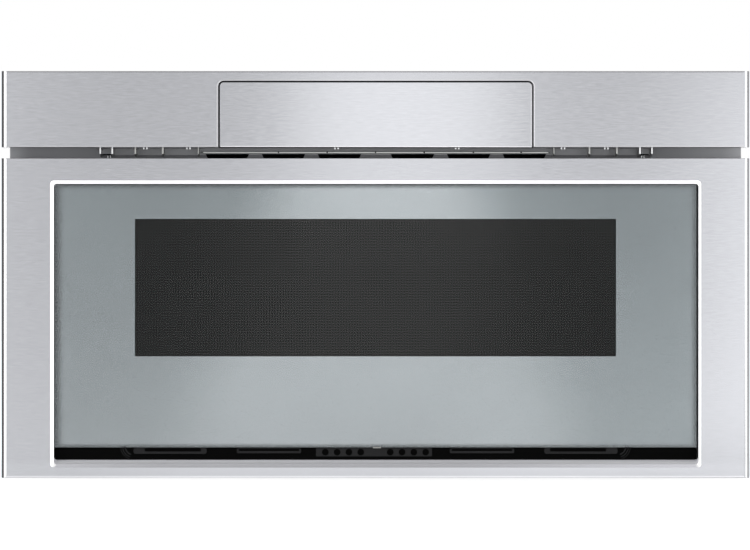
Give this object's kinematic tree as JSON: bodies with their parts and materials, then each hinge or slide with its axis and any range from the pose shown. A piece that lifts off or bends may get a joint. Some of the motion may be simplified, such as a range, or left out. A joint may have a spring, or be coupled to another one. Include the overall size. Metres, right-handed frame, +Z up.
{
  "type": "built-in microwave drawer",
  "caption": "Built-in microwave oven with a motor-driven glass-fronted food drawer that slides out and a steel flap in the fascia that tilts out with the control panel.",
  "frame": {"origin": "middle of the underside of the chassis base, which rests on the floor of the cabinet cut-out", "axes": "+Z up; the steel front faces -Y; +X is to the right as seen from in front"},
  "size_m": [0.759, 0.641, 0.413],
  "materials": {
    "brushed_front": "brushed",
    "zinc_steel": "zinc coated",
    "slide_steel": "bright zinc",
    "dark_trim": "satin dark grey",
    "black_plastic": "fine texture",
    "white_plastic": "natural nylon",
    "oven_enamel": "semi-gloss grey enamel",
    "door_glass": "tinted, mirror-like",
    "touch_glass": "black-printed, polished",
    "silver_paint": "fine silver paint",
    "window_screen": "black, perforated",
    "ceramic": "smooth off-white",
    "circuit_board": "green solder mask",
    "motor_steel": "dark varnish",
    "capacitor_can": "drawn can"
  },
  "bodies": {
    "chassis": {"base_pan": "zinc_steel", "left_side_panel": "zinc_steel", "right_side_panel": "zinc_steel", "top_cover": "zinc_steel", "rear_panel": "zinc_steel", "power_inlet": "black_plastic", "front_flange": "dark_trim", "upper_fascia": "brushed_front", "vent_trim": "dark_trim", "air_guide_left": "zinc_steel", "air_guide_right": "zinc_steel", "oven_cavity": "oven_enamel", "cavity_front_plate": "oven_enamel", "antenna_cover": "ceramic", "waveguide": "zinc_steel", "antenna_motor": "motor_steel", "magnetron": "zinc_steel", "hv_transformer": "motor_steel", "hv_capacitor": "capacitor_can", "blower_housing": "white_plastic", "blower_motor": "motor_steel", "exhaust_duct": "zinc_steel", "oven_lamp": "zinc_steel", "power_board": "circuit_board", "drawer_motor": "motor_steel", "outer_rail_left": "slide_steel", "outer_rail_right": "slide_steel", "interlock_switch_left": "black_plastic", "interlock_switch_right": "black_plastic", "flap_bearing_left": "zinc_steel", "flap_bearing_right": "zinc_steel", "flap_motor": "motor_steel"},
    "middle_rails": {"middle_rail_left": "slide_steel", "middle_rail_right": "slide_steel"},
    "drawer": {"door_frame": "brushed_front", "door_glass": "door_glass", "glass_backing": "silver_paint", "perforated_screen": "window_screen", "choke_frame": "oven_enamel", "choke_cover": "black_plastic", "door_back_cover": "zinc_steel", "lower_vent_trim": "black_plastic", "drawer_tray": "oven_enamel", "ceramic_floor": "ceramic", "drawer_arm_left": "zinc_steel", "drawer_arm_right": "zinc_steel", "inner_rail_left": "slide_steel", "inner_rail_right": "slide_steel", "drive_rack": "white_plastic", "latch_hook_left": "white_plastic", "latch_hook_right": "white_plastic"},
    "drive_pinion": {"drive_pinion": "white_plastic"},
    "control_flap": {"flap_skin": "brushed_front", "flap_holder": "black_plastic", "touch_glass": "touch_glass", "key_board": "circuit_board", "flap_sector": "white_plastic"},
    "flap_pinion": {"flap_pinion": "white_plastic"},
    "blower_wheel": {"blower_wheel": "black_plastic"},
    "antenna": {"antenna": "zinc_steel"}
  },
  "joints": [
    {"name": "drawer_slide", "type": "slide", "parent": "chassis", "child": "drawer", "axis": [0, -1, 0], "range_m": [0, 0.39]},
    {"name": "middle_rail_slide", "type": "slide", "parent": "chassis", "child": "middle_rails", "axis": [0, -1, 0], "range_m": [0, 0.195]},
    {"name": "drive_pinion_spin", "type": "hinge", "parent": "chassis", "child": "drive_pinion", "pos_m": [-0.338, -0.268, 0.095], "axis": [1, 0, 0], "range_deg": [0, 1118]},
    {"name": "flap_tilt", "type": "hinge", "parent": "chassis", "child": "control_flap", "pos_m": [0, -0.333, 0.325], "axis": [1, 0, 0], "range_deg": [0, 45]},
    {"name": "flap_pinion_spin", "type": "hinge", "parent": "chassis", "child": "flap_pinion", "pos_m": [0.1526, -0.3116, 0.36207], "axis": [1, 0, 0], "range_deg": [-194, 0]},
    {"name": "blower_spin", "type": "hinge", "parent": "chassis", "child": "blower_wheel", "pos_m": [-0.165, 0.165, 0.14], "axis": [0, 1, 0], "continuous": true},
    {"name": "antenna_spin", "type": "hinge", "parent": "chassis", "child": "antenna", "pos_m": [0, -0.1, 0.04], "axis": [0, 0, 1], "continuous": true}
  ],
  "couplings": [
    {"joint": "middle_rail_slide", "follows": "drawer_slide", "ratio": 0.5},
    {"joint": "drive_pinion_spin", "follows": "drawer_slide", "rad_per_m": 50},
    {"joint": "flap_pinion_spin", "follows": "flap_tilt", "ratio": -4.3}
  ]
}
